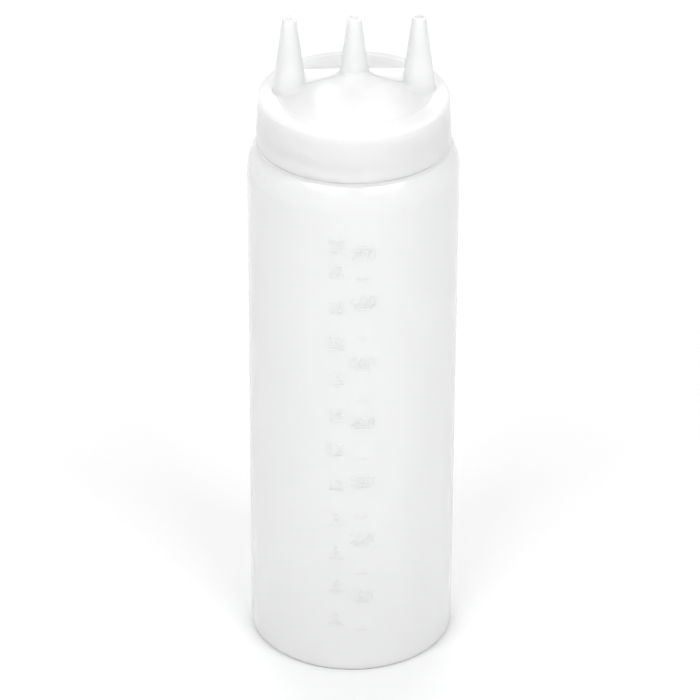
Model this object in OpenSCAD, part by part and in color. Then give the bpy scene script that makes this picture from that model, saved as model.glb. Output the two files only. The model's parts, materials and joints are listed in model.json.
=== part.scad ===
// Wide-mouth squeeze bottle with a screw cap that carries three open nozzles in a row.
// Millimetres, +Z up. The origin is the middle of the base, on the surface the bottle stands on.

/* [Bottle body] */
// Outside radius of the body
body_r = 37; // [35.5:0.5:44]
// Height at which the straight side ends and the shoulder starts to round in
body_h = 189; // [110:1:230]
// Wall of the body and of the shoulder
body_wall = 1.1; // [0.8:0.1:1.4]
// Radius of the round shoulder
shoulder_r = 16; // [12:0.1:18]
// How far the flat land round the neck lies below the full height of the shoulder round
land_drop = 5.3; // [3:0.1:6]

/* [Bottle base] */
// Radius of the rounded corner round the base
base_corner_r = 1.8; // [1.6:0.1:4]
// Radius inside which the base is pushed up clear of the table
foot_inner_r = 30; // [22:0.5:32]
// How far the middle of the base is pushed up
push_up = 2.2; // [1:0.1:5]
// Thickness of the floor
floor_t = 1.4; // [1:0.1:2.5]

/* [Neck] */
// Outside radius of the neck, without its thread
neck_r = 30.1; // [29.4:0.1:30.6]
// Wall of the neck
neck_wall = 1.35; // [1:0.05:2]
// Height of the lip above the land
neck_h = 14.6; // [12:0.1:20]
// Radius that rounds the outer edge of the lip
lip_round_r = 0.5; // [0.2:0.05:0.8]

/* [Sealing ring] */
// Thickness of the ring between the lip and the cap
ring_t = 1.2; // [0.8:0.1:2]
// How far the ring reaches out past the neck
ring_overhang = 0.5; // [0.2:0.1:0.7]
// Free play between the ring and the cap above it
ring_play = 0.1; // [0.05:0.05:0.3]

/* [Cap] */
// Wall of the skirt and of the cone
cap_wall = 1.5; // [1.2:0.1:2]
// Radial room for the threads between the neck and the top of the skirt's bore
thread_room = 1.6; // [1.3:0.1:1.9]
// Draft of the skirt, in degrees from upright
skirt_draft = 3.5; // [2:0.25:6]
// Gap between the skirt's lower edge and the land of the bottle
skirt_gap = 0.3; // [0.2:0.1:1.5]
// Radius that rounds the outer edge at the bottom of the skirt
skirt_edge_r = 0.45; // [0.2:0.05:0.6]
// Height of the sharp corner of skirt and cone above the face that presses on the ring
rim_rise = 1.7; // [1:0.1:2.5]
// Radius that rounds this corner
rim_round_r = 1.5; // [1:0.1:2.5]
// Slope of the cone, in degrees from level
cone_angle = 15.2; // [10:0.2:22]
// Bevel in the corner of the skirt's bore, above the threads
bore_bevel = 0.8; // [0.4:0.1:1]

/* [Centring collar in the cap] */
// Wall of the collar that reaches down into the neck
collar_wall = 1.1; // [0.8:0.1:1.4]
// Depth of the collar below the face that presses on the ring
collar_h = 2.5; // [1.6:0.1:4]
// Radial clearance between the collar and the bore of the neck
collar_clear = 0.5; // [0.3:0.05:0.8]
// Radial clearance between the collar and the sealing ring
ring_clear = 0.2; // [0.1:0.05:0.3]

/* [Nozzles] */
// Number of nozzles in the row
nozzle_count = 3; // [2:1:3]
// Distance between the axes of neighbouring nozzles
nozzle_pitch = 22.2; // [15:0.1:22.5]
// Height of a nozzle's tip above the point of the cone
nozzle_rise = 20; // [8:0.5:30]
// Outside radius at the tip
tip_r = 2.4; // [2:0.1:3]
// Radius that rounds the outer edge of the tip
tip_round_r = 0.7; // [0.3:0.05:0.8]
// Radius of the orifice in the tip
orifice_r = 1.3; // [0.8:0.1:1.5]
// Taper of the outside, in degrees from upright
nozzle_taper = 7.4; // [6:0.1:8]
// Taper of the passage inside, in degrees from upright
passage_taper = 6.6; // [3:0.1:6.7]

/* [Web between the nozzles] */
// Thickness of the web along its flat top
web_top_t = 2.2; // [1.6:0.1:3]
// Draft of the web's two sides, in degrees from upright
web_draft = 9.5; // [3:0.5:14]

/* [Hidden] */
$fn = 96;

// Overlap that keeps a cut from ending exactly on a face
cut = 1;

// Heights that the three pieces share
land_z = body_h + shoulder_r - land_drop;
lip_z = land_z + neck_h;
seat_z = lip_z + ring_t + ring_play;
skirt_z = land_z + skirt_gap;

// The neck's bore, and the collar and ring that follow it
neck_bore_r = neck_r - neck_wall;
collar_r = neck_bore_r - collar_clear;
collar_bore_r = collar_r - collar_wall;
ring_bore_r = collar_r + ring_clear;

// Radius of the skirt's bore and of its outside at a height, both drafted alike
function skirt_bore_r(z) = neck_r + thread_room + (seat_z - z) * tan(skirt_draft);
function skirt_r(z) = skirt_bore_r(z) + cap_wall;

// Sharp corner of skirt and cone, and the point of the cone over it
corner_z = seat_z + rim_rise;
corner_r = skirt_r(corner_z);
apex_z = corner_z + corner_r * tan(cone_angle);

// Height of the cone's outside and of its underside at a radius
function cone_z(r) = apex_z - r * tan(cone_angle);
function under_z(r) = cone_z(r) - cap_wall / cos(cone_angle);

// The rounded rim touches the skirt and the cone, which meet at the sharp corner
rim_turn = 90 - skirt_draft - cone_angle;
rim_run = rim_round_r * tan(rim_turn / 2);
rim_low = [corner_r + rim_run * sin(skirt_draft), corner_z - rim_run * cos(skirt_draft)];
rim_high = [corner_r - rim_run * cos(cone_angle), corner_z + rim_run * sin(cone_angle)];
rim_centre = rim_low - rim_round_r * [cos(skirt_draft), sin(skirt_draft)];

// Radius of the pushed-up dome that meets the table at foot_inner_r
dome_r = (foot_inner_r * foot_inner_r + push_up * push_up) / (2 * push_up);

// Nozzle tips, and how far down each nozzle and its passage run to pass the cone's wall
tip_z = apex_z + nozzle_rise;
row_half = (nozzle_count - 1) / 2 * nozzle_pitch;
nozzle_root_z = under_z(row_half);
function nozzle_r(z) = tip_r + (tip_z - z) * tan(nozzle_taper);
function passage_r(z) = orifice_r + (tip_z - z) * tan(passage_taper);

// Half of the bottle's outline, moved in by a wall at the side and by a thickness at the bottom
module body_outline(wall, bottom) {
    bend_r = base_corner_r - wall;
    bend_z = bottom + bend_r;
    intersection() {
        translate([body_r - shoulder_r, body_h]) circle(shoulder_r - wall);
        square([body_r, land_z - wall]);
    }
    translate([0, bottom]) square([body_r - shoulder_r, land_z - wall - bottom]);
    translate([0, bend_z]) square([body_r - wall, body_h - bend_z]);
    translate([0, bottom]) square([body_r - base_corner_r, bend_r]);
    translate([body_r - base_corner_r, bend_z]) circle(bend_r);
}

// Half disc of the dome that pushes the base up, grown by a thickness
module dome_outline(grow) {
    intersection() {
        translate([0, push_up - dome_r]) circle(dome_r + grow, $fn = 720);
        translate([0, -cut]) square([body_r, push_up + grow + 2 * cut]);
    }
}

// Half of the neck's outline, with the outer edge of the lip rounded
module neck_outline() {
    translate([0, land_z - cut]) square([neck_r, neck_h + cut - lip_round_r]);
    translate([0, land_z]) square([neck_r - lip_round_r, neck_h]);
    translate([neck_r - lip_round_r, lip_z - lip_round_r]) circle(lip_round_r);
}

module bottle() {
    color("whitesmoke", 0.75)
    rotate_extrude() difference() {
        union() {
            body_outline(0, 0);
            neck_outline();
        }
        dome_outline(0);
        difference() {
            body_outline(body_wall, floor_t);
            dome_outline(floor_t);
        }
        translate([0, body_h]) square([neck_bore_r, lip_z - body_h + cut]);
    }
}

module sealing_ring() {
    color("gainsboro")
    translate([0, 0, lip_z]) difference() {
        cylinder(h = ring_t, r = neck_r + ring_overhang);
        translate([0, 0, -cut]) cylinder(h = ring_t + 2 * cut, r = ring_bore_r);
    }
}

// Half of the cap's outside: drafted skirt with a rounded edge, rounded rim and cone
module cap_outline() {
    polygon([
        [0, skirt_z],
        [skirt_r(skirt_z) - skirt_edge_r, skirt_z],
        [skirt_r(skirt_z + skirt_edge_r), skirt_z + skirt_edge_r],
        rim_low,
        rim_high,
        [0, apex_z]
    ]);
    translate([skirt_r(skirt_z + skirt_edge_r) - skirt_edge_r, skirt_z + skirt_edge_r])
        circle(skirt_edge_r);
    translate(rim_centre) circle(rim_round_r);
}

// Half of the room inside the cap: the skirt's bore, and the hollow cone above the collar
module cap_room_outline() {
    bevel_z = seat_z - bore_bevel;
    difference() {
        polygon([
            [0, skirt_z - cut],
            [skirt_bore_r(skirt_z - cut), skirt_z - cut],
            [skirt_bore_r(bevel_z), bevel_z],
            [skirt_bore_r(bevel_z) - bore_bevel, seat_z],
            [0, seat_z]
        ]);
        translate([collar_bore_r, seat_z - collar_h]) square([collar_wall, collar_h + cut]);
    }
    polygon([
        [0, seat_z - cut],
        [collar_bore_r, seat_z - cut],
        [collar_bore_r, under_z(collar_bore_r)],
        [0, under_z(0)]
    ]);
}

// One tapered nozzle from its root to its rounded tip
module nozzle() {
    rotate_extrude() {
        polygon([
            [0, nozzle_root_z],
            [nozzle_r(nozzle_root_z), nozzle_root_z],
            [nozzle_r(tip_z - tip_round_r), tip_z - tip_round_r],
            [tip_r - tip_round_r, tip_z],
            [0, tip_z]
        ]);
        translate([nozzle_r(tip_z - tip_round_r) - tip_round_r, tip_z - tip_round_r])
            circle(tip_round_r);
    }
}

// The tapered passage of one nozzle, from the room in the cap out through the tip
module passage() {
    top_z = tip_z + cut;
    translate([0, 0, seat_z])
        cylinder(h = top_z - seat_z, r1 = passage_r(seat_z), r2 = passage_r(top_z));
}

// The drafted wall that ties the nozzles together, level with the point of the cone
module web() {
    web_h = apex_z - nozzle_root_z;
    web_root_t = web_top_t + 2 * web_h * tan(web_draft);
    translate([0, 0, apex_z]) rotate([90, 0, 90])
        linear_extrude(2 * row_half, center = true) polygon([
            [-web_top_t / 2, 0],
            [-web_root_t / 2, -web_h],
            [web_root_t / 2, -web_h],
            [web_top_t / 2, 0]
        ]);
}

module each_nozzle_place() {
    for (i = [0:nozzle_count - 1])
        translate([i * nozzle_pitch - row_half, 0, 0]) children();
}

module cap() {
    color("white", 0.8)
    difference() {
        union() {
            rotate_extrude() cap_outline();
            each_nozzle_place() nozzle();
            web();
        }
        rotate_extrude() cap_room_outline();
        each_nozzle_place() passage();
    }
}

bottle();
sealing_ring();
cap();
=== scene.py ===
"""Looks of a translucent squeeze bottle with a screw cap that carries three nozzles in a row.

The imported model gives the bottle, the sealing ring and the cap. Here the bottle and the cap are shown as
single moulded shells of the same form, with what the mould leaves on them: the threads, the raised scale,
the parting lines, and the way that the nozzles and the web run into the cone. Lengths are metres, and MM
is one millimetre.
"""
import json
import math

import bmesh
import bpy
from mathutils import Matrix, Vector


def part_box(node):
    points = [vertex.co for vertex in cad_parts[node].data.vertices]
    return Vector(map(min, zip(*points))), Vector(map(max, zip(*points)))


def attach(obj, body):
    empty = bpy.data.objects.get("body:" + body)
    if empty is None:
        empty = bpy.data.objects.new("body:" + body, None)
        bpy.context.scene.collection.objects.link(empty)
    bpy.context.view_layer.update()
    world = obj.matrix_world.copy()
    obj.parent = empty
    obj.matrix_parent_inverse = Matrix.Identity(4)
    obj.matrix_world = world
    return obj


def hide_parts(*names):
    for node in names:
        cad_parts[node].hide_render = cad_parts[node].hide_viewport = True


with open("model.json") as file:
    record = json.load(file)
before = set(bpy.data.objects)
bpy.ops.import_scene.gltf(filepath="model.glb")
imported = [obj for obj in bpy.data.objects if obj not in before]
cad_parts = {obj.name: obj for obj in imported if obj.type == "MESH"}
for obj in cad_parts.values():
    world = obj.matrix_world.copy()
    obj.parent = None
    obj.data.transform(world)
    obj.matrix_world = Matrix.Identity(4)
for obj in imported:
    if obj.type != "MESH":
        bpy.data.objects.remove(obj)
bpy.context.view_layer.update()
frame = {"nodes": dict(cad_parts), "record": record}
MM = 0.001

# Sizes that the frame gives
bottle_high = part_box("bottle")[1]
cap_low, cap_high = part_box("cap")
ring_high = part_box("sealing_ring")[1]
BODY_R = bottle_high.x
LIP_Z = bottle_high.z
SKIRT_Z = cap_low.z
TIP_Z = cap_high.z

# The bottle's form, as the construction has it
WALL = 1.1 * MM
SHOULDER_R = 16 * MM
SHOULDER_Z = 189 * MM
LAND_Z = SKIRT_Z - 0.3 * MM
CORNER_R = 1.8 * MM
FOOT_INNER_R = 30 * MM
PUSH_UP = 2.2 * MM
FLOOR_T = 1.4 * MM
DOME_EDGE_R = 30.1 * MM
NECK_R = ring_high.x - 0.5 * MM
NECK_BORE_R = NECK_R - 1.35 * MM
LIP_ROUND = 0.5 * MM
LIP_BORE_ROUND = 0.3 * MM
NECK_FILLET = 0.8 * MM
NECK_BORE_FILLET = 0.6 * MM

# A low bead on the shoulder, just inside the skirt's edge
BEAD_R = 33.9 * MM
BEAD_Z = SKIRT_Z - 0.14 * MM
BEAD_ROUND = 0.2 * MM

# The cap's form, as the construction has it
CAP_WALL = 1.5 * MM
SEAT_Z = ring_high.z + 0.1 * MM
THREAD_ROOM = 1.6 * MM
SKIRT_DRAFT = math.radians(3.5)
SKIRT_EDGE = 0.45 * MM
RIM_ROUND = 1.5 * MM
CONE = math.radians(15.2)
CORNER_Z = SEAT_Z + 1.7 * MM
BORE_BEVEL = 0.8 * MM
COLLAR_R = NECK_BORE_R - 0.5 * MM
COLLAR_BORE_R = COLLAR_R - 1.1 * MM
COLLAR_H = 2.5 * MM
PITCH = 22.2 * MM
NOZZLE_TIP_R = 2.4 * MM
NOZZLE_TIP_ROUND = 0.7 * MM
NOZZLE_SLOPE = math.tan(math.radians(7.4))
ORIFICE_R = 1.3 * MM
PASSAGE_SLOPE = math.tan(math.radians(6.6))
WEB_HALF_T = 1.1 * MM
WEB_SLOPE = math.tan(math.radians(9.5))

# A fine groove round the cone, over the collar
GROOVE_R = 27.15 * MM
GROOVE_HALF = 0.3 * MM
GROOVE_DEPTH = 0.14 * MM

# Where nozzles, web and cone meet: the cone swells to the middle nozzle and ends there in a crease
FLARE_RISE = 1.2 * MM
FLARE_SLOPE = math.radians(50)
# Fillet at an outer nozzle's foot, on the side away from the web and on the others
OUTER_FILLET = 0.8 * MM
FRONT_FILLET = 1.5 * MM
WEB_END_FILLET = 0.9 * MM
WEB_FOOT_NOTCH = 0.16 * MM
WEB_NOTCH_H = 0.3 * MM
WEB_EDGE_ROUND = 0.45 * MM

# The screw: the frame's coupling gives the rise for each radian of turn
THREAD_LEAD = frame["record"]["behaviour"]["couplings"][0]["ratio"] * 2 * math.pi
THREAD_TURNS = 1.75
THREAD_START_Z = LAND_Z + 4 * MM
THREAD_START_ANGLE = math.radians(200)
THREAD_ROOT = 2.0 * MM
THREAD_CREST = 0.9 * MM

# Raised lines of the mould: how far they stand out, how deep they sink in, and half their width
SEAM_SECTION = (0.1 * MM, 0.35 * MM, 0.2 * MM)
PINCH_SECTION = (0.35 * MM, 0.5 * MM, 0.45 * MM)
PINCH_HALF = 21 * MM

# Points round each turned solid
ROUND_STEPS = 192


def skirt_bore_r(z):
    """Radius of the skirt's bore at a height."""
    return NECK_R + THREAD_ROOM + (SEAT_Z - z) * math.tan(SKIRT_DRAFT)


def skirt_r(z):
    return skirt_bore_r(z) + CAP_WALL


CORNER_OUT_R = skirt_r(CORNER_Z)
APEX_Z = CORNER_Z + CORNER_OUT_R * math.tan(CONE)


def cone_z(r):
    return APEX_Z - r * math.tan(CONE)


def under_z(r):
    return cone_z(r) - CAP_WALL / math.cos(CONE)


def nozzle_r(z):
    return NOZZLE_TIP_R + (TIP_Z - z) * NOZZLE_SLOPE


def passage_r(z):
    return ORIFICE_R + (TIP_Z - z) * PASSAGE_SLOPE


# Outlines, as lists of (radius, height)

def arc(centre, radius, start, end, steps):
    """Points of an arc between two angles in degrees, both ends included."""
    points = []
    for i in range(steps + 1):
        a = math.radians(start + (end - start) * i / steps)
        points.append((centre[0] + radius * math.cos(a), centre[1] + radius * math.sin(a)))
    return points


def line(a, b, step):
    """Points from a up to but without b, no further apart than a step."""
    count = max(1, math.ceil(math.dist(a, b) / step))
    return [(a[0] + (b[0] - a[0]) * i / count, a[1] + (b[1] - a[1]) * i / count) for i in range(count)]


def dome_z(r, grow=0.0):
    """Height of the pushed-up base at a radius, or of a surface that lies a thickness above it."""
    ball_r = (FOOT_INNER_R ** 2 + PUSH_UP ** 2) / (2 * PUSH_UP)
    return PUSH_UP - ball_r + math.sqrt((ball_r + grow) ** 2 - r ** 2)


def dome(grow, reach, steps):
    """Half of the pushed-up base, from the axis out to a radius."""
    return [(reach * i / steps, dome_z(reach * i / steps, grow)) for i in range(steps + 1)]


def bottle_outline():
    shoulder = (BODY_R - SHOULDER_R, SHOULDER_Z)
    corner_x = BODY_R - CORNER_R
    bead_foot = math.degrees(math.acos((BEAD_R - shoulder[0]) / SHOULDER_R))
    inner_r = SHOULDER_R - WALL
    inner_top = math.degrees(math.asin((LAND_Z - WALL - SHOULDER_Z) / inner_r))
    bend_r = CORNER_R - WALL
    side = BODY_R - WALL
    fillet_z = LAND_Z - WALL + NECK_BORE_FILLET
    points = dome(0, FOOT_INNER_R, 12)
    points += line((FOOT_INNER_R, 0), (corner_x, 0), 2.7 * MM)[1:]
    points += arc((corner_x, CORNER_R), CORNER_R, -90, 0, 8)
    points += line((BODY_R, CORNER_R), (BODY_R, SHOULDER_Z), 6 * MM)[1:]
    points += arc(shoulder, SHOULDER_R, 0, bead_foot, 14)
    points += arc((BEAD_R - BEAD_ROUND, BEAD_Z - BEAD_ROUND), BEAD_ROUND, 0, 90, 4)
    points += [(BEAD_R - 0.8 * MM, BEAD_Z), (BEAD_R - 1.0 * MM, LAND_Z)]
    points += arc((NECK_R + NECK_FILLET, LAND_Z + NECK_FILLET), NECK_FILLET, -90, -180, 4)
    points += line((NECK_R, LAND_Z + NECK_FILLET), (NECK_R, LIP_Z - LIP_ROUND), 2 * MM)[1:]
    points += arc((NECK_R - LIP_ROUND, LIP_Z - LIP_ROUND), LIP_ROUND, 0, 90, 5)
    points += arc((NECK_BORE_R + LIP_BORE_ROUND, LIP_Z - LIP_BORE_ROUND), LIP_BORE_ROUND, 90, 180, 4)
    points += line((NECK_BORE_R, LIP_Z - LIP_BORE_ROUND), (NECK_BORE_R, fillet_z), 4 * MM)[1:]
    points += arc((NECK_BORE_R + NECK_BORE_FILLET, fillet_z), NECK_BORE_FILLET, 180, 270, 4)
    points += arc(shoulder, inner_r, inner_top, 0, 16)
    points += line((side, SHOULDER_Z), (side, FLOOR_T + bend_r), 6 * MM)[1:]
    points += arc((corner_x, FLOOR_T + bend_r), bend_r, 0, -90, 5)
    points += dome(FLOOR_T, DOME_EDGE_R, 12)[::-1]
    return points


def cap_outline():
    """The cap's outside with the groove in its cone, closed by a flat at the bottom."""
    turn = math.pi / 2 - SKIRT_DRAFT - CONE
    run = RIM_ROUND * math.tan(turn / 2)
    low = (CORNER_OUT_R + run * math.sin(SKIRT_DRAFT), CORNER_Z - run * math.cos(SKIRT_DRAFT))
    high = (CORNER_OUT_R - run * math.cos(CONE), CORNER_Z + run * math.sin(CONE))
    middle = (low[0] - RIM_ROUND * math.cos(SKIRT_DRAFT), low[1] - RIM_ROUND * math.sin(SKIRT_DRAFT))
    edge_z = SKIRT_Z + SKIRT_EDGE
    points = line((0, SKIRT_Z), (skirt_r(edge_z) - SKIRT_EDGE, SKIRT_Z), 6 * MM)
    points += arc((skirt_r(edge_z) - SKIRT_EDGE, edge_z), SKIRT_EDGE, -90, 0, 5)
    points += line((skirt_r(edge_z), edge_z), low, 2 * MM)[1:]
    points += arc(middle, RIM_ROUND, math.degrees(SKIRT_DRAFT), 90 - math.degrees(CONE), 8)
    outer, inner = GROOVE_R + GROOVE_HALF, GROOVE_R - GROOVE_HALF
    points += line(high, (outer, cone_z(outer)), 0.9 * MM)[1:]
    points += [(outer, cone_z(outer)), (GROOVE_R, cone_z(GROOVE_R) - GROOVE_DEPTH)]
    points += line((inner, cone_z(inner)), (0, APEX_Z), 0.9 * MM) + [(0, APEX_Z)]
    return points


def cap_room_outline():
    """The room inside the cap: the skirt's bore round the collar, and the hollow cone above it."""
    below = SKIRT_Z - 1 * MM
    bevel_z = SEAT_Z - BORE_BEVEL
    edge = 0.25 * MM
    points = [(0, below), (skirt_bore_r(below), below)]
    points += line((skirt_bore_r(below), below), (skirt_bore_r(bevel_z), bevel_z), 2 * MM)[1:]
    points += [(skirt_bore_r(bevel_z), bevel_z), (skirt_bore_r(bevel_z) - BORE_BEVEL, SEAT_Z)]
    points += [(COLLAR_R, SEAT_Z), (COLLAR_R, SEAT_Z - COLLAR_H + edge)]
    points += arc((COLLAR_R - edge, SEAT_Z - COLLAR_H + edge), edge, 0, -90, 3)[1:]
    points += arc((COLLAR_BORE_R + edge, SEAT_Z - COLLAR_H + edge), edge, -90, -180, 3)
    points += [(COLLAR_BORE_R, SEAT_Z), (COLLAR_BORE_R, under_z(COLLAR_BORE_R))]
    points += line((COLLAR_BORE_R, under_z(COLLAR_BORE_R)), (0, under_z(0)), 1.5 * MM)[1:]
    points.append((0, under_z(0)))
    return points


# Solids

def new_object(name, mesh):
    shape = bpy.data.objects.new(name, mesh)
    bpy.context.scene.collection.objects.link(shape)
    return shape


def object_from(name, form):
    """A linked object from a bmesh, with merged doubles and outward faces."""
    bmesh.ops.remove_doubles(form, verts=form.verts, dist=1e-7)
    bmesh.ops.recalc_face_normals(form, faces=form.faces)
    mesh = bpy.data.meshes.new(name)
    form.to_mesh(mesh)
    form.free()
    return new_object(name, mesh)


def skin(form, rows, closed_round=True):
    """Quads between rows of points. A row of one point is a pole."""
    made = [[form.verts.new(p) for p in row] for row in rows]
    for lower, upper in zip(made, made[1:]):
        count = max(len(lower), len(upper))
        for i in range(count if closed_round else count - 1):
            corners = []
            for row, j in ((lower, i), (lower, i + 1), (upper, i + 1), (upper, i)):
                vertex = row[j % len(row)]
                if vertex not in corners:
                    corners.append(vertex)
            form.faces.new(corners)
    return made


def turned(name, outline, steps=ROUND_STEPS, centre=(0, 0)):
    """A closed solid of revolution from an outline that starts and ends on the axis."""
    form = bmesh.new()
    rows = []
    for r, z in outline:
        if r < 1e-9:
            rows.append([Vector((centre[0], centre[1], z))])
        else:
            rows.append([Vector((centre[0] + r * math.cos(a), centre[1] + r * math.sin(a), z))
                         for a in (2 * math.pi * i / steps for i in range(steps))])
    skin(form, rows)
    return object_from(name, form)


def joined(name, parts):
    """One object from several that don't touch."""
    form = bmesh.new()
    for part in parts:
        form.from_mesh(part.data)
        bpy.data.objects.remove(part)
    mesh = bpy.data.meshes.new(name)
    form.to_mesh(mesh)
    form.free()
    return new_object(name, mesh)


def combined(base, tool, operation):
    """Joins a closed solid to the base, or cuts it out of it, for good."""
    modifier = base.modifiers.new("combine", "BOOLEAN")
    modifier.operation = operation
    modifier.object = tool
    modifier.solver = "MANIFOLD"
    evaluated = base.evaluated_get(bpy.context.evaluated_depsgraph_get())
    mesh = bpy.data.meshes.new_from_object(evaluated)
    base.modifiers.remove(modifier)
    base.data = mesh
    bpy.data.objects.remove(tool)
    return base


def moulded(shape, material, sharp=32):
    """Smooth shading with crisp edges, and one finish all over."""
    mesh = shape.data
    form = bmesh.new()
    form.from_mesh(mesh)
    bmesh.ops.remove_doubles(form, verts=form.verts, dist=2e-6)
    bmesh.ops.dissolve_degenerate(form, edges=form.edges, dist=1e-6)
    bmesh.ops.recalc_face_normals(form, faces=form.faces)
    limit = math.radians(sharp)
    for edge in form.edges:
        edge.smooth = len(edge.link_faces) == 2 and edge.calc_face_angle(0) < limit
    for face in form.faces:
        face.smooth = True
        face.material_index = 0
    form.to_mesh(mesh)
    form.free()
    mesh.materials.clear()
    mesh.materials.append(material)
    weights = shape.modifiers.new("weights", "WEIGHTED_NORMAL")
    weights.mode = "FACE_AREA_WITH_ANGLE"
    weights.keep_sharp = True
    evaluated = shape.evaluated_get(bpy.context.evaluated_depsgraph_get())
    finished = bpy.data.meshes.new_from_object(evaluated)
    shape.modifiers.remove(weights)
    finished.name = shape.name
    shape.data = finished
    return shape


# The cap's nozzles, passages and web

def flare_foot(a):
    """Foot of the middle nozzle: the cone swells up to a crease, higher in front and behind than beside."""
    crease_z = APEX_Z + FLARE_RISE * (0.15 + 0.85 * math.sin(a) ** 2)
    crease_r = nozzle_r(crease_z)
    across = math.sin(FLARE_SLOPE) - math.sin(CONE)
    up = math.cos(CONE) - math.cos(FLARE_SLOPE)
    radius = (crease_z - APEX_Z + crease_r * math.tan(CONE)) / (up - across * math.tan(CONE))
    middle = (crease_r + radius * math.sin(FLARE_SLOPE), crease_z + radius * math.cos(FLARE_SLOPE))
    return arc(middle, radius, -90 - math.degrees(CONE), -90 - math.degrees(FLARE_SLOPE), 12)


def nozzle_solid(centre_x, steps=96, sunk=0.02 * MM):
    """A nozzle whose foot spreads into the cone, sunk a little so that it cuts the cone."""
    slant = math.atan(NOZZLE_SLOPE)
    tip_low = TIP_Z - NOZZLE_TIP_ROUND
    side_steps = 16
    columns = []
    for i in range(steps):
        a = 2 * math.pi * i / steps
        outward = math.cos(a) if centre_x > 0 else -math.cos(a)
        fillet = OUTER_FILLET + (FRONT_FILLET - OUTER_FILLET) * min(1.0, 1.4 * (1 - max(outward, 0.0)) ** 2)

        def ground(rho):
            return cone_z(math.hypot(centre_x + rho * math.cos(a), rho * math.sin(a))) - sunk

        def ball(rho):
            """Middle of the ball that touches the cone there, and the cone's slope."""
            slope = (ground(rho + 0.001 * MM) - ground(rho - 0.001 * MM)) / (0.002 * MM)
            length = math.hypot(1, slope)
            middle = (rho - slope * fillet / length, ground(rho) + fillet / length)
            return middle, slope

        if centre_x == 0:
            foot = [(r, z - sunk) for r, z in flare_foot(a)]
        else:
            near, far = 4 * MM, 16 * MM  # the foot's radius lies between these
            for _ in range(50):
                rho = (near + far) / 2
                middle, slope = ball(rho)
                gap = (middle[0] - nozzle_r(middle[1])) * math.cos(slant) - fillet
                near, far = (near, rho) if gap > 0 else (rho, far)
            foot = arc(middle, fillet, math.degrees(math.atan(slope)) - 90, math.degrees(slant) - 180, 12)
        column = [(foot[0][0] - 0.8 * MM, foot[0][1] - 1.2 * MM)] + foot
        top = column[-1]
        column += [(nozzle_r(z), z) for z in (top[1] + (tip_low - top[1]) * k / side_steps
                                              for k in range(1, side_steps))]
        column += arc((nozzle_r(tip_low) - NOZZLE_TIP_ROUND, tip_low), NOZZLE_TIP_ROUND, 0, 90, 6)
        columns.append([Vector((centre_x + r * math.cos(a), r * math.sin(a), z)) for r, z in column])
    rows = [list(row) for row in zip(*columns)]
    rows.insert(0, [Vector((centre_x, 0, min(p.z for p in rows[0])))])
    rows.append([Vector((centre_x, 0, TIP_Z))])
    form = bmesh.new()
    skin(form, rows)
    return object_from("nozzle", form)


def passage_solid(centre_x):
    """The tapered passage of a nozzle, with its upper edge rounded."""
    edge = 0.25 * MM
    low = SEAT_Z + 0.02 * MM
    above = TIP_Z + 1 * MM
    outline = [(0, low), (passage_r(low), low)]
    outline += line((passage_r(low), low), (passage_r(TIP_Z - edge), TIP_Z - edge), 2 * MM)[1:]
    outline += arc((passage_r(TIP_Z - edge) + edge, TIP_Z - edge), edge, 180, 90, 4)
    outline += [(passage_r(TIP_Z - edge) + edge, above), (0, above)]
    return turned("passage", outline, 64, (centre_x, 0))


def web_half_width(x, z):
    """Half of the web's thickness at a place along the row and a height.

    It widens towards its nozzles and is notched at its foot.
    """
    width = WEB_HALF_T + (APEX_Z - z) * WEB_SLOPE
    if z - cone_z(x) < WEB_NOTCH_H:
        width -= WEB_FOOT_NOTCH
    for centre_x in (0.0, PITCH):
        reach = abs(x - centre_x)
        r = nozzle_r(z)
        start = math.sqrt((r + WEB_END_FILLET) ** 2 - (width + WEB_END_FILLET) ** 2)
        touch = start * r / (r + WEB_END_FILLET)
        if reach < start:
            t = max(reach, touch)
            width += WEB_END_FILLET - math.sqrt(max(WEB_END_FILLET ** 2 - (start - t) ** 2, 0.0))
    return width


def web_solid():
    """The drafted wall that ties the nozzles together, level with the point of the cone."""
    form = bmesh.new()
    places = [PITCH * i / 96 for i in range(-96, 97)]
    rows = []
    for x in places:
        side = abs(x)
        foot = cone_z(side) - 0.7 * MM
        heights = [APEX_Z - WEB_EDGE_ROUND - (APEX_Z - WEB_EDGE_ROUND - foot) * k / 30 for k in range(31)]
        half = []
        top = web_half_width(side, APEX_Z - WEB_EDGE_ROUND)
        for px, pz in arc((top - WEB_EDGE_ROUND, APEX_Z - WEB_EDGE_ROUND), WEB_EDGE_ROUND, 90, 0, 4)[:-1]:
            half.append((px, pz))
        half += [(web_half_width(side, z), z) for z in heights]
        loop = [(y, z) for y, z in half] + [(-y, z) for y, z in reversed(half)]
        rows.append([Vector((x, y, z)) for y, z in loop])
    made = skin(form, rows)
    form.faces.new(made[0])
    form.faces.new(list(reversed(made[-1])))
    return object_from("web", form)


# What repeats, grown with Geometry Nodes

def new_tree(name, inputs):
    """A geometry tree with named inputs and one geometry output, as the tree, its inputs and its output."""
    tree = bpy.data.node_groups.new(name, "GeometryNodeTree")
    tree.interface.new_socket("Geometry", in_out="OUTPUT", socket_type="NodeSocketGeometry")
    for socket_name, kind, value in inputs:
        socket = tree.interface.new_socket(socket_name, in_out="INPUT", socket_type=kind)
        if value is not None:
            socket.default_value = value
    return tree, tree.nodes.new("NodeGroupInput").outputs, tree.nodes.new("NodeGroupOutput")


def add_node(tree, kind, links=(), values=(), **settings):
    """A node with its settings, the sockets that feed its inputs, and plain values for other inputs."""
    node = tree.nodes.new(kind)
    for key, value in settings.items():
        setattr(node, key, value)
    for key, source in dict(links).items():
        tree.links.new(source, node.inputs[key])
    for key, value in dict(values).items():
        node.inputs[key].default_value = value
    return node


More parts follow.
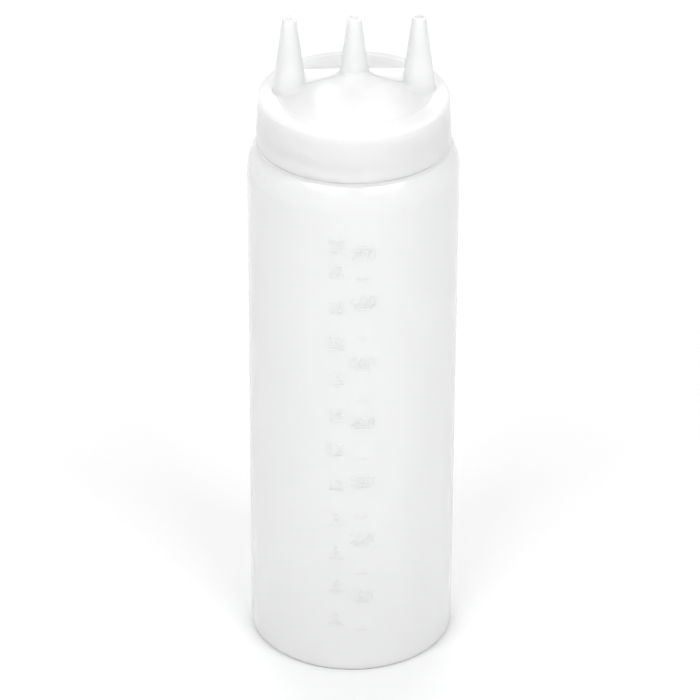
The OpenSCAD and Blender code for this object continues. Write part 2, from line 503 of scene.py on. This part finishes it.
def math_node(tree, operation, a, b=None):
    """The result of a math node on two sockets or numbers."""
    node = tree.nodes.new("ShaderNodeMath")
    node.operation = operation
    for index, value in enumerate((a, b)):
        if value is None:
            continue
        if isinstance(value, bpy.types.NodeSocket):
            tree.links.new(value, node.inputs[index])
        else:
            node.inputs[index].default_value = value
    return node.outputs[0]


def finished_tree(tree, geometry, material, out):
    """Ends a tree: real geometry, with its material."""
    real = add_node(tree, "GeometryNodeRealizeInstances", {"Geometry": geometry})
    finish = add_node(tree, "GeometryNodeSetMaterial", {
        "Geometry": real.outputs["Geometry"],
        "Material": material,
    })
    tree.links.new(finish.outputs["Geometry"], out.inputs["Geometry"])
    return tree


def grown(name, tree, values):
    """The plain mesh object that the tree makes with these values for its named inputs."""
    holder = new_object(name, bpy.data.meshes.new(name))
    modifier = holder.modifiers.new("shape", "NODES")
    modifier.node_group = tree
    for item in tree.interface.items_tree:
        if item.in_out == "INPUT" and item.name in values:
            modifier[item.identifier] = values[item.name]
    evaluated = holder.evaluated_get(bpy.context.evaluated_depsgraph_get())
    mesh = bpy.data.meshes.new_from_object(evaluated)
    bpy.data.objects.remove(holder)
    form = bmesh.new()
    form.from_mesh(mesh)
    return object_from(name, form)


def thread_tree():
    """A right-hand thread rib that runs out smoothly at both ends."""
    tree, given, out = new_tree("thread rib", [
        ("Radius", "NodeSocketFloat", 0.03),
        ("Lead", "NodeSocketFloat", 0.004),
        ("Turns", "NodeSocketFloat", 1.5),
        ("Start height", "NodeSocketFloat", 0.0),
        ("Start angle", "NodeSocketFloat", 0.0),
        ("Inner width", "NodeSocketFloat", 0.002),
        ("Outer width", "NodeSocketFloat", 0.001),
        ("Depth", "NodeSocketFloat", 0.001),
        ("Run-out share", "NodeSocketFloat", 0.08),
        ("Points a turn", "NodeSocketInt", 96),
        ("Material", "NodeSocketMaterial", None),
    ])
    helix = add_node(tree, "GeometryNodeCurveSpiral", {
        "Resolution": given["Points a turn"],
        "Rotations": given["Turns"],
        "Start Radius": given["Radius"],
        "End Radius": given["Radius"],
        "Height": math_node(tree, "MULTIPLY", given["Lead"], given["Turns"]),
    })
    upright = add_node(tree, "GeometryNodeSetCurveNormal", {"Curve": helix.outputs["Curve"]}, mode="Z_UP")
    along = add_node(tree, "GeometryNodeSplineParameter").outputs["Factor"]
    near = math_node(tree, "MINIMUM", along, math_node(tree, "SUBTRACT", 1.0, along))
    share = math_node(tree, "ADD", math_node(tree, "DIVIDE", near, given["Run-out share"]), 0.12)
    eased = math_node(tree, "MINIMUM", share, 1.0)
    section = add_node(tree, "GeometryNodeCurvePrimitiveQuadrilateral", {
        "Bottom Width": given["Inner width"],
        "Top Width": given["Outer width"],
        "Height": given["Depth"],
    }, {"Offset": 0.0}, mode="TRAPEZOID")
    outward = add_node(tree, "GeometryNodeTransform", {"Geometry": section.outputs["Curve"]}, {
        "Rotation": (0, 0, math.pi / 2),
    })
    swept = add_node(tree, "GeometryNodeCurveToMesh", {
        "Curve": upright.outputs["Curve"],
        "Profile Curve": outward.outputs["Geometry"],
        "Scale": eased,
    }, {"Fill Caps": True})
    lift = add_node(tree, "ShaderNodeCombineXYZ", {"Z": given["Start height"]})
    spin = add_node(tree, "ShaderNodeCombineXYZ", {"Z": given["Start angle"]})
    placed = add_node(tree, "GeometryNodeTransform", {
        "Geometry": swept.outputs["Mesh"],
        "Translation": lift.outputs["Vector"],
        "Rotation": spin.outputs["Vector"],
    })
    return finished_tree(tree, placed.outputs["Geometry"], given["Material"], out)


def ticks_tree():
    """A column of raised ticks on a round wall, one above the other."""
    tree, given, out = new_tree("scale ticks", [
        ("Count", "NodeSocketInt", 10),
        ("First height", "NodeSocketFloat", 0.02),
        ("Spacing", "NodeSocketFloat", 0.01),
        ("Side", "NodeSocketFloat", 0.0),
        ("Length", "NodeSocketFloat", 0.005),
        ("Stroke", "NodeSocketFloat", 0.0005),
        ("Relief", "NodeSocketFloat", 0.00025),
        ("Sunk", "NodeSocketFloat", 0.0002),
        ("Radius", "NodeSocketFloat", 0.03),
        ("Turn", "NodeSocketFloat", 0.0),
        ("Material", "NodeSocketMaterial", None),
    ])
    first = add_node(tree, "ShaderNodeCombineXYZ", {"X": given["Side"], "Z": given["First height"]})
    step = add_node(tree, "ShaderNodeCombineXYZ", {"Z": given["Spacing"]})
    places = add_node(tree, "GeometryNodeMeshLine", {
        "Count": given["Count"],
        "Start Location": first.outputs["Vector"],
        "Offset": step.outputs["Vector"],
    })
    depth = math_node(tree, "ADD", given["Relief"], given["Sunk"])
    size = add_node(tree, "ShaderNodeCombineXYZ", {"X": given["Length"], "Y": depth, "Z": given["Stroke"]})
    bar = add_node(tree, "GeometryNodeMeshCube", {"Size": size.outputs["Vector"]}, {"Vertices X": 7})
    copies = add_node(tree, "GeometryNodeInstanceOnPoints", {
        "Points": places.outputs["Mesh"],
        "Instance": bar.outputs["Mesh"],
    })
    real = add_node(tree, "GeometryNodeRealizeInstances", {"Geometry": copies.outputs["Instances"]})
    where = add_node(tree, "ShaderNodeSeparateXYZ", {
        "Vector": add_node(tree, "GeometryNodeInputPosition").outputs["Position"],
    })
    along = math_node(tree, "DIVIDE", where.outputs["X"], given["Radius"])
    angle = math_node(tree, "ADD", along, given["Turn"])
    middle = math_node(tree, "MULTIPLY", math_node(tree, "SUBTRACT", given["Relief"], given["Sunk"]), 0.5)
    out_r = math_node(tree, "ADD", math_node(tree, "ADD", where.outputs["Y"], middle), given["Radius"])
    x = math_node(tree, "MULTIPLY", out_r, math_node(tree, "SINE", angle))
    away = math_node(tree, "MULTIPLY", out_r, math_node(tree, "COSINE", angle))
    y = math_node(tree, "MULTIPLY", away, -1.0)
    wrapped = add_node(tree, "ShaderNodeCombineXYZ", {"X": x, "Y": y, "Z": where.outputs["Z"]})
    bent = add_node(tree, "GeometryNodeSetPosition", {
        "Geometry": real.outputs["Geometry"],
        "Position": wrapped.outputs["Vector"],
    })
    return finished_tree(tree, bent.outputs["Geometry"], given["Material"], out)


# The raised scale, two columns that face the camera's side

SCALE_TURN = math.radians(-2.5)
SCALE_RELIEF = 0.32 * MM
SCALE_SUNK = 0.2 * MM
STROKE = 0.45 * MM
DIGIT_H = 4.2 * MM
DIGIT_GAP = 0.8 * MM
MM_PER_ML = 0.244
MARK_50_MM = 18.1
OUNCE_ML = 29.5735

# Places along the wall and lengths of the ticks and numbers
LEFT_MIDDLE = -5.7 * MM
RIGHT_TICK_MIDDLE = 3.3 * MM
RIGHT_NUMBER_MIDDLE = 3.8 * MM


def level(volume_ml):
    """Height of the mark for a volume."""
    return (MARK_50_MM + (volume_ml - 50) * MM_PER_ML) * MM


def on_wall(side, out, z):
    """The place at a distance along the wall from the scale's middle, and out from the wall."""
    angle = SCALE_TURN + side / BODY_R
    return Vector(((BODY_R + out) * math.sin(angle), -(BODY_R + out) * math.cos(angle), z))


def raised_number(text, middle, base_z, width):
    """Plain raised digits, wrapped round the wall, centred on a place along it."""
    curve = bpy.data.curves.new("number", "FONT")
    curve.body = text
    curve.resolution_u = 3
    curve.extrude = 0.5
    holder = new_object("number", curve)
    evaluated = holder.evaluated_get(bpy.context.evaluated_depsgraph_get())
    mesh = bpy.data.meshes.new_from_object(evaluated)
    bpy.data.objects.remove(holder)
    form = bmesh.new()
    form.from_mesh(mesh)
    xs = [v.co.x for v in form.verts]
    ys = [v.co.y for v in form.verts]
    across = width / (max(xs) - min(xs))
    up = DIGIT_H / (max(ys) - min(ys))
    for v in form.verts:
        out = SCALE_RELIEF if v.co.z > 0 else -SCALE_SUNK
        side = middle + (v.co.x - (max(xs) + min(xs)) / 2) * across
        v.co = on_wall(side, out, base_z + (v.co.y - min(ys)) * up)
    return object_from("number", form)


def scale_parts(material):
    """Ticks and numbers: every 50 on the right, every second of the other column's 24 on the left."""
    tree = ticks_tree()
    parts = []
    columns = [
        (7, level(50), level(100) - level(0), RIGHT_TICK_MIDDLE, 4.2 * MM),
        (7, level(100), level(100) - level(0), RIGHT_TICK_MIDDLE + 0.1 * MM, 5.2 * MM),
        (12, level(2 * OUNCE_ML), level(2 * OUNCE_ML) - level(0), LEFT_MIDDLE, 5.2 * MM),
    ]
    for count, first, spacing, side, length in columns:
        parts.append(grown("ticks", tree, {
            "Count": count,
            "First height": first,
            "Spacing": spacing,
            "Side": side,
            "Length": length,
            "Stroke": STROKE,
            "Relief": SCALE_RELIEF,
            "Sunk": SCALE_SUNK,
            "Radius": BODY_R,
            "Turn": SCALE_TURN,
            "Material": material,
        }))
    over, under = DIGIT_GAP, -DIGIT_GAP - DIGIT_H
    for volume in range(100, 800, 100):
        shift = under if volume == 700 else over
        parts.append(raised_number(str(volume), RIGHT_NUMBER_MIDDLE, level(volume) + shift, 9.0 * MM))
    for mark in range(2, 26, 2):
        shift = under if mark == 24 else over
        width = 2.4 * MM if mark < 10 else 5.3 * MM
        parts.append(raised_number(str(mark), LEFT_MIDDLE, level(mark * OUNCE_ML) + shift, width))
    return joined("scale", parts)


def ridge(name, path, relief, sunk, half_width):
    """A narrow raised line that follows a path of (radius, height) in the plane of the nozzles."""
    form = bmesh.new()
    rows = []
    for i, (r, z) in enumerate(path):
        before, after = path[max(i - 1, 0)], path[min(i + 1, len(path) - 1)]
        along = Vector((after[0] - before[0], after[1] - before[1])).normalized()
        normal = Vector((along.y, -along.x))
        fade = min(1.0, 0.15 + i / 2, 0.15 + (len(path) - 1 - i) / 2)
        up = (r + normal.x * relief * fade, z + normal.y * relief * fade)
        down = (r - normal.x * sunk, z - normal.y * sunk)
        rows.append([
            Vector((up[0], -half_width * 0.5, up[1])), Vector((up[0], half_width * 0.5, up[1])),
            Vector((down[0], half_width, down[1])), Vector((down[0], -half_width, down[1])),
        ])
    made = skin(form, rows)
    form.faces.new(made[0])
    form.faces.new(list(reversed(made[-1])))
    return object_from(name, form)


def mirrored(shape):
    """A copy turned half round the bottle's axis."""
    copy = new_object(shape.name, shape.data.copy())
    copy.data.transform(Matrix.Rotation(math.pi, 4, "Z"))
    return copy


def bottle_shell(material):
    """The bottle in one piece: walls, neck thread, scale, parting lines and pinch line."""
    shell = turned("bottle_shell", bottle_outline())
    thread = grown("thread", thread_tree(), {
        "Radius": NECK_R + 0.45 * MM,
        "Lead": THREAD_LEAD,
        "Turns": THREAD_TURNS,
        "Start height": THREAD_START_Z,
        "Start angle": THREAD_START_ANGLE,
        "Inner width": THREAD_ROOT,
        "Outer width": THREAD_CREST,
        "Depth": 1.3 * MM,
        "Material": material,
    })
    combined(shell, thread, "UNION")
    combined(shell, scale_parts(material), "UNION")
    land_angle = math.degrees(math.asin((LAND_Z - SHOULDER_Z) / SHOULDER_R))
    path = line((BODY_R, 3 * MM), (BODY_R, SHOULDER_Z), 6 * MM)
    path += arc((BODY_R - SHOULDER_R, SHOULDER_Z), SHOULDER_R, 0, land_angle - 4, 16)
    seam = ridge("parting_line", path, *SEAM_SECTION)
    combined(shell, joined("parting_lines", [mirrored(seam), seam]), "UNION")
    base = [(-r, dome_z(r)) for r in (PINCH_HALF * (1 - i / 8) for i in range(17))]
    combined(shell, ridge("pinch_line", base, *PINCH_SECTION), "UNION")
    return moulded(shell, material)


def cap_shell(material):
    """The cap in one piece: skirt and cone, nozzles, web, the room inside and the thread in it."""
    shell = turned("cap_shell", cap_outline())
    centres = (-PITCH, 0.0, PITCH)
    combined(shell, joined("nozzles", [nozzle_solid(x) for x in centres]), "UNION")
    combined(shell, web_solid(), "UNION")
    combined(shell, turned("room", cap_room_outline()), "DIFFERENCE")
    combined(shell, joined("passages", [passage_solid(x) for x in centres]), "DIFFERENCE")
    thread = grown("thread", thread_tree(), {
        "Radius": NECK_R + THREAD_ROOM - 0.35 * MM,
        "Lead": THREAD_LEAD,
        "Turns": THREAD_TURNS,
        "Start height": THREAD_START_Z - THREAD_LEAD / 2,
        "Start angle": THREAD_START_ANGLE,
        "Inner width": THREAD_CREST,
        "Outer width": THREAD_ROOT,
        "Depth": 1.5 * MM,
        "Material": material,
    })
    combined(shell, thread, "UNION")
    return moulded(shell, material)


# Finishes

SKIN_RIPPLE = 0.01 * MM
# Painted shade on the cap: how much greyer the colour turns above a height, and over what rise it comes in
PAINTED_SHADE_SHARE = 0.935
PAINTED_SHADE_RUN = 6 * MM


def plastic(name, tint, roughness, clearness=0.0, inside=0.0, painted_shade_from=None):
    """Translucent polyethylene: light spreads in the wall and some goes straight through its satin skin.

    Above a height the colour is a little greyer: painted shade that darkens the nozzles and the web.
    """
    material = bpy.data.materials.new(name)
    material.use_nodes = True
    tree = material.node_tree
    shader = tree.nodes["Principled BSDF"]
    shader.inputs["IOR"].default_value = 1.51
    shader.inputs["Specular IOR Level"].default_value = 0.35
    shader.inputs["Transmission Weight"].default_value = clearness
    shader.inputs["Subsurface Weight"].default_value = inside
    shader.inputs["Subsurface Radius"].default_value = (1.0, 1.0, 1.0)
    shader.inputs["Subsurface Scale"].default_value = 0.003
    place = add_node(tree, "ShaderNodeTexCoord").outputs["Object"]
    slow = add_node(tree, "ShaderNodeTexNoise", {"Vector": place}, {"Scale": 28.0, "Detail": 2.0})
    tone = add_node(tree, "ShaderNodeMix", {"Factor": slow.outputs["Fac"]}, data_type="RGBA")
    tone.inputs["A"].default_value = (*(c * 0.985 for c in tint), 1)
    tone.inputs["B"].default_value = (*tint, 1)
    colour = tone.outputs["Result"]
    # Painted shade: the colour turns greyer above a height, to darken the nozzles and the web
    if painted_shade_from is not None:
        height = add_node(tree, "ShaderNodeSeparateXYZ", {"Vector": place}).outputs["Z"]
        share = add_node(tree, "ShaderNodeMapRange", {"Value": height}, {
            "From Min": painted_shade_from,
            "From Max": painted_shade_from + PAINTED_SHADE_RUN,
        })
        painted_shade_tint = add_node(tree, "ShaderNodeMix", {"Factor": share.outputs["Result"], "A": colour},
                        data_type="RGBA")
        painted_shade_tint.inputs["B"].default_value = (*(c * PAINTED_SHADE_SHARE for c in tint), 1)
        colour = painted_shade_tint.outputs["Result"]
    tree.links.new(colour, shader.inputs["Base Color"])
    sheen = add_node(tree, "ShaderNodeMapRange", {"Value": slow.outputs["Fac"]}, {
        "To Min": roughness - 0.03,
        "To Max": roughness + 0.03,
    })
    tree.links.new(sheen.outputs["Result"], shader.inputs["Roughness"])
    skin_noise = add_node(tree, "ShaderNodeTexNoise", {"Vector": place}, {"Scale": 400.0, "Detail": 3.0})
    bump = add_node(tree, "ShaderNodeBump", {"Height": skin_noise.outputs["Fac"]}, {
        "Strength": 1.0,
        "Distance": SKIN_RIPPLE,
    })
    tree.links.new(bump.outputs["Normal"], shader.inputs["Normal"])
    return material


bottle_plastic = plastic("bottle plastic", (0.93, 0.945, 0.95), 0.16, clearness=0.35, inside=1.0)
# The cap's nozzles and web get painted shade above the cone's point
cap_plastic = plastic("cap plastic", (0.95, 0.96, 0.96), 0.21, clearness=0.42, inside=1.0, painted_shade_from=APEX_Z)
ring_rubber = plastic("ring rubber", (0.88, 0.89, 0.88), 0.6)
for slot in frame["nodes"]["sealing_ring"].material_slots:
    slot.material = ring_rubber

shown_bottle = bottle_shell(bottle_plastic)
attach(shown_bottle, "bottle")
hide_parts("bottle")

shown_cap = cap_shell(cap_plastic)
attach(shown_cap, "cap")
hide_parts("cap")


# Studio

def studio_floor():
    mesh = bpy.data.meshes.new("floor")
    form = bmesh.new()
    bmesh.ops.create_circle(form, cap_ends=True, radius=6.0, segments=96)
    form.to_mesh(mesh)
    form.free()
    floor = new_object("floor", mesh)
    material = bpy.data.materials.new("pale floor")
    material.use_nodes = True
    shader = material.node_tree.nodes["Principled BSDF"]
    shader.inputs["Base Color"].default_value = (0.7, 0.7, 0.7, 1)
    shader.inputs["Roughness"].default_value = 0.9
    shader.inputs["Specular IOR Level"].default_value = 0.1
    mesh.materials.append(material)


def soft_light(name, place, aim, size, power):
    data = bpy.data.lights.new(name, "AREA")
    data.shape = "RECTANGLE"
    data.size, data.size_y = size
    data.energy = power
    lamp = bpy.data.objects.new(name, data)
    bpy.context.scene.collection.objects.link(lamp)
    lamp.location = place
    lamp.rotation_euler = (Vector(aim) - Vector(place)).to_track_quat("-Z", "Y").to_euler()
    return lamp


def studio_air(low_strength, high_strength):
    """Soft light from all round, with one strength at the horizon and another from halfway up."""
    world = bpy.data.worlds.new("studio")
    world.use_nodes = True
    tree = world.node_tree
    place = add_node(tree, "ShaderNodeTexCoord").outputs["Generated"]
    height = add_node(tree, "ShaderNodeSeparateXYZ", {"Vector": place}).outputs["Z"]
    strength = add_node(tree, "ShaderNodeMapRange", {"Value": height}, {
        "From Min": 0.0,
        "From Max": 0.7,
        "To Min": low_strength,
        "To Max": high_strength,
    }, interpolation_type="SMOOTHSTEP")
    background = tree.nodes["Background"]
    background.inputs["Color"].default_value = (1, 1, 1, 1)
    tree.links.new(strength.outputs["Result"], background.inputs["Strength"])
    bpy.context.scene.world = world


# The camera stands off in front, above the cap, and looks down at the middle of the bottle
CAMERA_AWAY = 1.2306
CAMERA_HEIGHT = 0.8429
CAMERA_PITCH = math.radians(30.63)
CAMERA_AZIMUTH = math.radians(-2.5)
CAMERA_ROLL = math.radians(0.28)
CAMERA_ASIDE = math.radians(0.0387)
FOCAL_PIXELS = 3994.0
FRAME_PIXELS = 700


def photo_camera():
    data = bpy.data.cameras.new("camera")
    data.sensor_width = 36.0
    data.lens = FOCAL_PIXELS * data.sensor_width / FRAME_PIXELS
    data.clip_start, data.clip_end = 0.05, 50
    camera = bpy.data.objects.new("camera", data)
    bpy.context.scene.collection.objects.link(camera)
    turned_to = Matrix.Rotation(CAMERA_AZIMUTH, 4, "Z")
    turned_to = turned_to @ Matrix.Rotation(math.pi / 2 - CAMERA_PITCH, 4, "X")
    turned_to = turned_to @ Matrix.Rotation(CAMERA_ASIDE, 4, "Y") @ Matrix.Rotation(CAMERA_ROLL, 4, "Z")
    place = Vector((
        CAMERA_AWAY * math.sin(CAMERA_AZIMUTH),
        -CAMERA_AWAY * math.cos(CAMERA_AZIMUTH),
        CAMERA_HEIGHT,
    ))
    camera.matrix_world = Matrix.Translation(place) @ turned_to
    bpy.context.scene.camera = camera


studio_floor()
studio_air(1.08, 0.6)
# Two wide boxes in front, a large one over the cap and a low one behind
soft_light("overhead", (-0.05, 0.7, 1.5), (-0.05, 0.4, 0), (1.0, 1.4), 7)
soft_light("left", (-1.15, -1.5, 1.6), (0, 0, 0.15), (1.6, 0.6), 28.5)
soft_light("right", (1.15, -1.5, 1.6), (0, 0, 0.15), (1.6, 0.6), 28.5)
soft_light("behind", (0, 1.9, 1.35), (0, 0, 0.2), (2.0, 0.5), 15)
photo_camera()
bpy.context.scene.view_settings.view_transform = "Standard"
